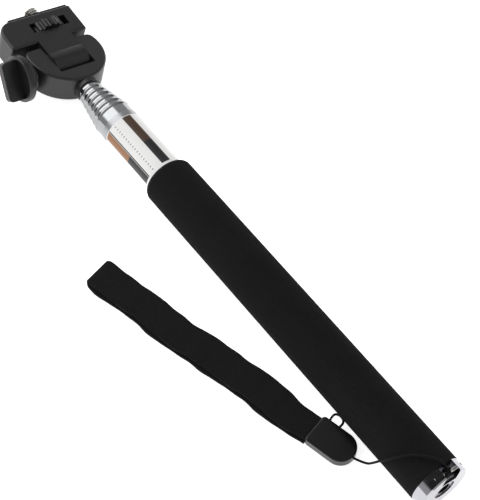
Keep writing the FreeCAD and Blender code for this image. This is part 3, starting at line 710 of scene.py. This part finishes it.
def wrist_strap():
    start, end = span("wrist_strap", lying, clip_tip)
    right, left = span("wrist_strap", sideways, clip_tip)
    low = ground + WEBBING_THICKNESS / 2
    high = low + WEBBING_THICKNESS + LAYER_GAP
    sway, ripple = waver(3, 0.45 * MM, 90 * MM), waver(8, 0.16 * MM, 34 * MM)
    edges = [waver(seed, 0.22 * MM, 26 * MM) for seed in (11, 12)]
    columns = 10
    build = bmesh.new()
    uv = build.loops.layers.uv.new("weave")
    rows, travelled, before = [], 0.0, None
    for along_place, up, share in folded_path(start - 0.2 * MM, end, low, high):
        lower = 1 - share
        if before:
            travelled += math.dist(before, (along_place, up))
        before = (along_place, up)
        half = half_width(along_place, start, end, (left - right) / 2)
        shift = sway(along_place) + lower * UNDERLAP
        lift = share * (abs(ripple(along_place)) + 0.1 * MM * (1 - lower))
        row = []
        for column in range(columns + 1):
            across_share = 2 * column / columns - 1
            edge = edges[across_share > 0](travelled) * abs(across_share) ** 3
            out = across_share * half + shift + edge + (left + right) / 2
            place = clip_tip + lying * along_place + sideways * out
            place.z = up + lift
            row.append((build.verts.new(place), (travelled, across_share * half)))
        rows.append(row)
    for near, far in zip(rows, rows[1:]):
        for column in range(columns):
            corners = (near[column], far[column], far[column + 1], near[column + 1])
            made = build.faces.new([vertex for vertex, spot in corners])
            for loop, (vertex, spot) in zip(made.loops, corners):
                loop[uv].uv = spot
    mesh = bpy.data.meshes.new("webbing_strap")
    build.to_mesh(mesh)
    build.free()
    return mesh, (left - right, travelled)


def thickened(mesh, thickness):
    """The mesh with a real thickness, half of it each side, as a plain closed mesh."""
    holder = bpy.data.objects.new("holder", mesh)
    bpy.context.scene.collection.objects.link(holder)
    solid = holder.modifiers.new("thickness", "SOLIDIFY")
    solid.thickness = thickness
    solid.offset = 0
    depsgraph = bpy.context.evaluated_depsgraph_get()
    closed = bpy.data.meshes.new_from_object(holder.evaluated_get(depsgraph))
    bpy.data.objects.remove(holder)
    return shade_smooth(closed, 50)


strap_mesh, strap_flat = wrist_strap()
strap = add_piece("webbing_strap", thickened(strap_mesh, WEBBING_THICKNESS), "handle", "webbing",
                  ("wrist_strap",))
print("webbing", [round(side / MM, 1) for side in strap_flat], "mm")

# %% [markdown]
# ## The ribbed foam grip
# The foam was pushed through a toothed die, so its surface has fine ribs from end to end. One rib is
# the same as the next, so Geometry Nodes copies a single thin cylinder to the points of a circle. The
# smooth sleeve itself is lathed, a little smaller, so that the ribs' crests reach the true radius.

# %% The ribbed foam grip
RIB_COUNT = 96
RIB_RADIUS = 0.3 * MM
RIB_CREST = 0.14 * MM
GRIP_EDGE = 2.0 * MM


def ring_of_ribs():
    """A node tree that sets ribs round the X axis and joins them to what the modifier is on."""
    tree = bpy.data.node_groups.new("ring_of_ribs", "GeometryNodeTree")
    sockets = {}
    tree.interface.new_socket("Geometry", in_out="INPUT", socket_type="NodeSocketGeometry")
    for name, kind in (("Count", "Int"), ("Rib radius", "Float"), ("Rib length", "Float"),
                       ("Ring radius", "Float"), ("Start", "Float"), ("Finish", "Material")):
        sockets[name] = tree.interface.new_socket(name, in_out="INPUT",
                                                  socket_type=f"NodeSocket{kind}").identifier
    tree.interface.new_socket("Geometry", in_out="OUTPUT", socket_type="NodeSocketGeometry")
    given = add(tree, "NodeGroupInput").outputs
    rib = add(tree, "GeometryNodeMeshCylinder",
              {"Radius": given["Rib radius"], "Depth": given["Rib length"]}, Vertices=10)
    upright_circle = add(tree, "GeometryNodeMeshCircle",
                         {"Vertices": given["Count"], "Radius": given["Ring radius"]})
    half = add(tree, "ShaderNodeMath", {0: given["Rib length"]}, operation="MULTIPLY_ADD")
    half.inputs[1].default_value = 0.5
    tree.links.new(given["Start"], half.inputs[2])
    middle = add(tree, "ShaderNodeCombineXYZ", {"X": half.outputs["Value"]}).outputs["Vector"]
    quarter = (0, math.pi / 2, 0)
    circle = add(tree, "GeometryNodeTransform",
                 {"Geometry": upright_circle.outputs["Mesh"], "Translation": middle}, Rotation=quarter)
    lengthwise = add(tree, "GeometryNodeTransform", {"Geometry": rib.outputs["Mesh"]}, Rotation=quarter)
    copies = add(tree, "GeometryNodeInstanceOnPoints",
                 {"Points": circle.outputs["Geometry"], "Instance": lengthwise.outputs["Geometry"]})
    together = add(tree, "GeometryNodeJoinGeometry", {"Geometry": given["Geometry"]})
    tree.links.new(copies.outputs["Instances"], together.inputs["Geometry"])
    real = add(tree, "GeometryNodeRealizeInstances", {"Geometry": together.outputs["Geometry"]})
    painted = add(tree, "GeometryNodeSetMaterial",
                  {"Geometry": real.outputs["Geometry"], "Material": given["Finish"]})
    add(tree, "NodeGroupOutput", {"Geometry": painted.outputs["Geometry"]})
    return tree, sockets


def with_nodes(mesh, tree, sockets, settings):
    """The plain mesh that a node tree makes from a mesh, with its named inputs set first."""
    holder = bpy.data.objects.new("holder", mesh)
    bpy.context.scene.collection.objects.link(holder)
    modifier = holder.modifiers.new("ribs", "NODES")
    modifier.node_group = tree
    for name, setting in settings.items():
        modifier[sockets[name]] = setting
    depsgraph = bpy.context.evaluated_depsgraph_get()
    made = bpy.data.meshes.new_from_object(holder.evaluated_get(depsgraph))
    bpy.data.objects.remove(holder)
    return shade_smooth(made)


def foam_sleeve():
    outer = (grip_high.y - grip_low.y) / 2
    inner = min(math.hypot(vertex.co.y, vertex.co.z)
                for vertex in frame["nodes"]["foam_grip"].data.vertices)
    body = outer - RIB_CREST
    outline = [(grip_low.x, inner), (grip_low.x, body)]
    for step in range(7):
        turn = math.pi / 2 * step / 6
        outline.append((grip_high.x - GRIP_EDGE + GRIP_EDGE * math.sin(turn),
                        body - GRIP_EDGE + GRIP_EDGE * math.cos(turn)))
    outline.append((grip_high.x, inner))
    sleeve = lathed("foam_sleeve", outline, 96, Matrix.Identity(4))
    tree, sockets = ring_of_ribs()
    return with_nodes(sleeve, tree, sockets, {
        "Count": RIB_COUNT,
        "Rib radius": RIB_RADIUS,
        "Rib length": grip_high.x - grip_low.x - GRIP_EDGE,
        "Ring radius": outer - RIB_RADIUS,
        "Start": grip_low.x,
        "Finish": FINISHES["grip_foam"],
    })


grip = add_piece("ribbed_foam_grip", foam_sleeve(), "handle", "grip_foam", ("foam_grip",))
print("ribbed grip faces", len(grip.data.polygons))

# %% [markdown]
# ## The camera screw's thread
# A screw thread is a ridge that climbs one pitch in each turn. The lathe helper can make it: the
# radius at each point depends on how far along it is, less its share of a turn. A 1/4 inch camera
# thread has twenty turns to the inch, which is 1.27 mm a turn.

# %% The camera screw's thread
THREAD_PITCH = 1.27 * MM
THREAD_DEPTH = 0.62 * MM
THREAD_LENGTH = 5.6 * MM
SCREW_CHAMFER = 0.7 * MM
JOURNAL_LENGTH = 3.1 * MM
JOURNAL_RADIUS = 2.0 * MM
SCREW_NECK_RADIUS = 2.7 * MM
THREAD_RINGS = 44


def threaded(place, radius, turn):
    """Cuts the thread's groove into the part of the screw above the pad."""
    if place < THREAD_START:
        return radius
    share = ((place - THREAD_START) / THREAD_PITCH - turn / math.tau) % 1.0
    ridge = min(1.0, max(0.0, 2.4 * abs(share - 0.5) - 0.1))
    faded = min(1.0, (place - THREAD_START) / (0.5 * THREAD_PITCH))
    return min(radius, SCREW_RADIUS - THREAD_DEPTH * ridge * faded)


def widest(node, axis, foot):
    """The largest distance of a node's points from an axis through foot."""
    return max((vertex.co - foot - axis * (vertex.co - foot).dot(axis)).length
               for vertex in frame["nodes"][node].data.vertices)


screw_low, screw_high = span("camera_screw", upright, screw_foot)
SCREW_RADIUS = widest("camera_screw", upright, screw_foot)
THREAD_START = screw_high - THREAD_LENGTH


def screw_outline():
    shoulder = screw_low + JOURNAL_LENGTH
    outline = [(screw_low, 0), (screw_low, JOURNAL_RADIUS), (shoulder, JOURNAL_RADIUS),
               (shoulder, SCREW_NECK_RADIUS), (THREAD_START, SCREW_NECK_RADIUS)]
    for step in range(THREAD_RINGS + 1):
        place = THREAD_START + THREAD_LENGTH * step / THREAD_RINGS
        chamfer = max(0.0, place - (screw_high - SCREW_CHAMFER))
        outline.append((place, SCREW_RADIUS - chamfer))
    outline.append((screw_high, 0))
    return outline


screw_matrix = turned_frame(screw_foot, upright, across)
screw_mesh = lathed("threaded_screw", screw_outline(), 56, screw_matrix, threaded)
add_piece("threaded_screw", screw_mesh, "camera_screw", "plated_screw", ("camera_screw",))
print("thread turns", round(THREAD_LENGTH / THREAD_PITCH, 1))

# %% [markdown]
# ## Rolled rims
# Each tube's end is rolled over the next one, which leaves a small round bead. The beads catch the
# light as bright rings, and they make the steps of the telescope easy to see. One outline is lathed
# for each tube: a bead that stands a little above the wall.

# %% Rolled rims
RIM_WIDTH = 2.1 * MM
RIM_HEIGHT = 0.22 * MM
RIM_SETBACK = 0.25 * MM
RIM_SUNK = 0.01 * MM
RIM_STEPS = 16


def rolled_rim(section):
    high = Vector(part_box(f"section_{section}_tube")[1])
    radius = high.y
    middle_place = high.x - RIM_SETBACK - RIM_WIDTH / 2
    outline = [(middle_place - RIM_WIDTH / 2, radius - RIM_HEIGHT)]
    for step in range(RIM_STEPS + 1):
        share = step / RIM_STEPS
        outline.append((middle_place + RIM_WIDTH * (share - 0.5),
                        radius - RIM_SUNK + RIM_HEIGHT * math.sin(math.pi * share) ** 2))
    outline.append((middle_place + RIM_WIDTH / 2, radius - RIM_HEIGHT))
    body = "handle" if section == 1 else f"section_{section}"
    mesh = lathed(f"rolled_rim_{section}", outline, 96, Matrix.Identity(4))
    return add_piece(f"rolled_rim_{section}", mesh, body, "polished_tube")


rims = [rolled_rim(section) for section in range(1, 7)]
print("rims", len(rims))

# %% [markdown]
# ## The socket's thread
# The tripod socket in the cap is tapped with the same thread as the camera screw. Its ridge is one
# helix that runs round the bore's wall, sunk so that only its crest stands out.

# %% The socket's thread
SOCKET_RADIUS = 2.55 * MM
RIDGE_RADIUS = 0.38 * MM
RIDGE_START = 1.0 * MM
RIDGE_TURNS = 5.5
RIDGE_STEPS = 20


def socket_thread():
    points = []
    for step in range(int(RIDGE_TURNS * RIDGE_STEPS) + 1):
        turn = math.tau * step / RIDGE_STEPS
        points.append(Vector((RIDGE_START + THREAD_PITCH * step / RIDGE_STEPS,
                              SOCKET_RADIUS * math.cos(turn), SOCKET_RADIUS * math.sin(turn))))
    return curve_mesh(smooth_line("socket_thread", points, RIDGE_RADIUS))


add_piece("socket_thread", socket_thread(), "handle", "chrome_cap")

# %% [markdown]
# ## The floor and the string's length
# The string is a free cord that leaves its turns round the pin and ends in the clip. The strap is a
# sheet of webbing that lies folded on the ground. Here the floor's object is made, and the string's
# length is measured along its line.

floor_mesh = bpy.data.meshes.new("studio_floor")
floor = bpy.data.objects.new("studio_floor", floor_mesh)


def cord_length(curve):
    """The length of the smooth line itself, measured on a copy with no thickness."""
    bare = curve.copy()
    bare.bevel_depth = 0
    bare.resolution_u = 64
    mesh = curve_mesh(bare)
    return sum((mesh.vertices[edge.vertices[0]].co - mesh.vertices[edge.vertices[1]].co).length
               for edge in mesh.edges)


string_length = cord_length(cord.data)
print("string", round(string_length / MM, 1), "mm")

# %% [markdown]
# ## The studio
# The stick lies on a light table: white acrylic that glows a little, so there is hardly any shadow.
# The tubes are mirrors, so what they show is the room. The room is painted on the sky as bright and
# dark areas, with soft edges as real soft boxes have. A broad box over the head end lights the tubes,
# and a narrow dark canopy stands where the cap's wall mirrors it, which gives the chrome its black.
# A place on the sky is told by its direction: X, and the angle from straight up towards +Y.

# %% The studio
TABLE_HALF = 8.0
TABLE_GLOW = 0.80
AIR_LIGHT = 0.51
BOX_LIGHT = 2.0
CANOPY_SHADE = -0.49
BOX_PLACE = (0.36, 0.9), (-20, 56)
CANOPY_PLACE = (0.13, 0.32), (-100, 62)


def add_plane(item, half, place, material):
    """A square stage piece that faces up."""
    item.data.from_pydata([(-half, -half, 0), (half, -half, 0), (half, half, 0), (-half, half, 0)],
                          [], [(0, 1, 2, 3)])
    item.data.materials.append(material)
    item.location = place
    bpy.context.scene.collection.objects.link(item)


def glowing_acrylic():
    material, tree, shader = new_material("white_acrylic_table", Roughness=0.9,
                                          Emission_Color=(1, 1, 1, 1), Emission_Strength=TABLE_GLOW)
    clouds = grain(tree, object_coordinates(tree), 20)
    acrylic = between(tree, clouds, linear("#F6F6F6"), linear("#FFFFFF"))
    tree.links.new(acrylic.outputs["Color"], shader.inputs["Base Color"])
    return material


def sky_patch(tree, parts, angle, x_range, angle_range, light):
    """Light on a patch of the sky, between two X and two angles in degrees, with soft edges."""
    low, high = (math.radians(limit) for limit in angle_range)
    across_mask = inside(tree, angle, low, high, math.radians(6))
    along_mask = inside(tree, parts["X"], *x_range, 0.05)
    patch = add(tree, "ShaderNodeMath", {0: across_mask, 1: along_mask}, operation="MULTIPLY")
    scaled = add(tree, "ShaderNodeMath", {0: patch.outputs["Value"]}, operation="MULTIPLY")
    scaled.inputs[1].default_value = light
    return scaled.outputs["Value"]


def painted_sky():
    world = bpy.data.worlds.new("studio_sky")
    bpy.context.scene.world = world
    world.use_nodes = True
    tree = world.node_tree
    direction = add(tree, "ShaderNodeTexCoord").outputs["Generated"]
    parts = add(tree, "ShaderNodeSeparateXYZ", {"Vector": direction}).outputs
    angle = add(tree, "ShaderNodeMath", {0: parts["Y"], 1: parts["Z"]},
                operation="ARCTAN2").outputs["Value"]
    box = sky_patch(tree, parts, angle, *BOX_PLACE, BOX_LIGHT)
    canopy = sky_patch(tree, parts, angle, *CANOPY_PLACE, CANOPY_SHADE)
    light = add(tree, "ShaderNodeMath", {0: box, 1: canopy}, operation="ADD")
    total = add(tree, "ShaderNodeMath", {0: light.outputs["Value"]}, operation="ADD")
    total.inputs[1].default_value = AIR_LIGHT
    tree.nodes["Background"].inputs["Color"].default_value = (1, 1, 1, 1)
    tree.links.new(total.outputs["Value"], tree.nodes["Background"].inputs["Strength"])


add_plane(floor, TABLE_HALF, (0, 0, ground - 0.1 * MM), glowing_acrylic())
painted_sky()
bpy.context.scene.view_settings.view_transform = "Standard"
bpy.context.scene.view_settings.look = "None"
